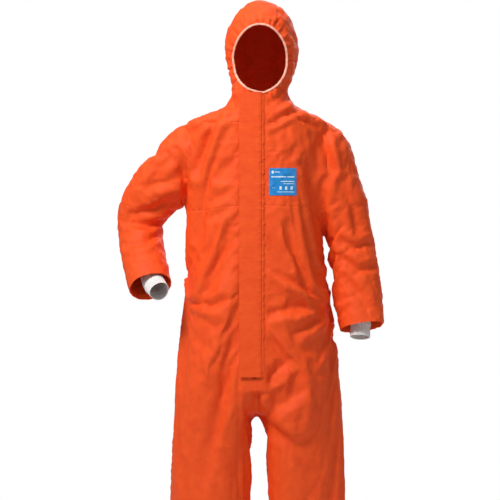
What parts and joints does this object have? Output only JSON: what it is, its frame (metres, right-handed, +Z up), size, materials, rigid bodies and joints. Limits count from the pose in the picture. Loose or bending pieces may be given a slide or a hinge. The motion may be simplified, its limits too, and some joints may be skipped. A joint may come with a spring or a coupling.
{
  "type": "chemical protective suit",
  "caption": "Hooded disposable protective coverall with elastic face opening, front zip under a storm flap, knit cuffs and elastic waist and ankles, in a worn stance.",
  "frame": {"origin": "middle of the neck, at the height where the hood's neck seam meets the shoulders", "axes": "+Z up the body, -Y out of the chest, +X to the wearer's left"},
  "size_m": [0.7163, 0.3012, 1.718],
  "materials": {
    "cloth": "semi-matte spunbond nonwoven",
    "binding": "soft elastic binding",
    "knit": "rib knit",
    "elastic": "woven elastic",
    "zip_cloth": "woven tape",
    "nylon": "moulded nylon",
    "slider_paint": "painted die casting",
    "adhesive": "release paper over adhesive",
    "label_print": "printed film"
  },
  "bodies": {
    "torso": {"hood_neck_left": "cloth", "hood_neck_right": "cloth", "front_yoke_left": "cloth", "front_yoke_right": "cloth", "front_body_left": "cloth", "front_body_right": "cloth", "back_upper": "cloth", "back_lower_left": "cloth", "back_lower_right": "cloth", "crotch_gusset": "cloth", "waist_elastic": "elastic", "chest_label": "label_print", "zip_tape_left": "zip_cloth", "zip_tape_right": "zip_cloth", "zip_coil_left": "nylon", "zip_coil_right": "nylon", "zip_top_stop_left": "nylon", "zip_top_stop_right": "nylon", "zip_bottom_stop": "nylon", "flap_stitched_edge": "cloth", "sleeve_upper_left": "cloth", "sleeve_upper_right": "cloth", "sleeve_elbow_left": "cloth", "sleeve_elbow_right": "cloth", "leg_knee_left": "cloth", "leg_knee_right": "cloth"},
    "hood": {"hood_centre": "cloth", "hood_side_left": "cloth", "hood_side_right": "cloth", "face_binding": "binding"},
    "flap": {"storm_flap": "cloth", "flap_tape": "adhesive"},
    "slider": {"zip_slider": "slider_paint"},
    "puller": {"zip_puller": "slider_paint"},
    "left_forearm": {"sleeve_lower_left": "cloth", "cuff_left": "knit"},
    "right_forearm": {"sleeve_lower_right": "cloth", "cuff_right": "knit"},
    "left_shin": {"leg_lower_front_left": "cloth", "leg_lower_back_left": "cloth", "ankle_hem_left": "cloth", "ankle_elastic_left": "elastic"},
    "right_shin": {"leg_lower_front_right": "cloth", "leg_lower_back_right": "cloth", "ankle_hem_right": "cloth", "ankle_elastic_right": "elastic"}
  },
  "joints": [
    {"name": "zip_slide", "type": "slide", "parent": "torso", "child": "slider", "axis": [0, -0.0494, -0.9988], "range_m": [-0.003, 0.713]},
    {"name": "puller_swing", "type": "hinge", "parent": "slider", "child": "puller", "pos_m": [-0.008, -0.11543, 0.01208], "axis": [0, -0.9988, 0.0494], "range_deg": [-40, 40]},
    {"name": "flap_open", "type": "hinge", "parent": "torso", "child": "flap", "pos_m": [0.012, -0.13657, -0.34324], "axis": [0, 0.0494, 0.9988], "range_deg": [0, 150]},
    {"name": "hood_fold", "type": "hinge", "parent": "torso", "child": "hood", "pos_m": [0.007, 0.085, 0.03], "axis": [-1, 0, 0], "range_deg": [0, 95], "deforming": ["hood_neck_left", "hood_neck_right", "face_binding"]},
    {"name": "left_elbow", "type": "hinge", "parent": "torso", "child": "left_forearm", "pos_m": [0.2458, 0.0181, -0.3538], "axis": [-1, 0, 0], "range_deg": [-10, 80], "deforming": ["sleeve_elbow_left"]},
    {"name": "right_elbow", "type": "hinge", "parent": "torso", "child": "right_forearm", "pos_m": [-0.3126, 0.0693, -0.2878], "axis": [-0.7342, -0.5938, 0.3292], "range_deg": [-60, 20], "deforming": ["sleeve_elbow_right"]},
    {"name": "left_knee", "type": "hinge", "parent": "torso", "child": "left_shin", "pos_m": [0.128, 0.02, -1.02], "axis": [1, 0, 0], "range_deg": [0, 75], "deforming": ["leg_knee_left"]},
    {"name": "right_knee", "type": "hinge", "parent": "torso", "child": "right_shin", "pos_m": [-0.128, 0.02, -1.02], "axis": [1, 0, 0], "range_deg": [0, 75], "deforming": ["leg_knee_right"]}
  ]
}
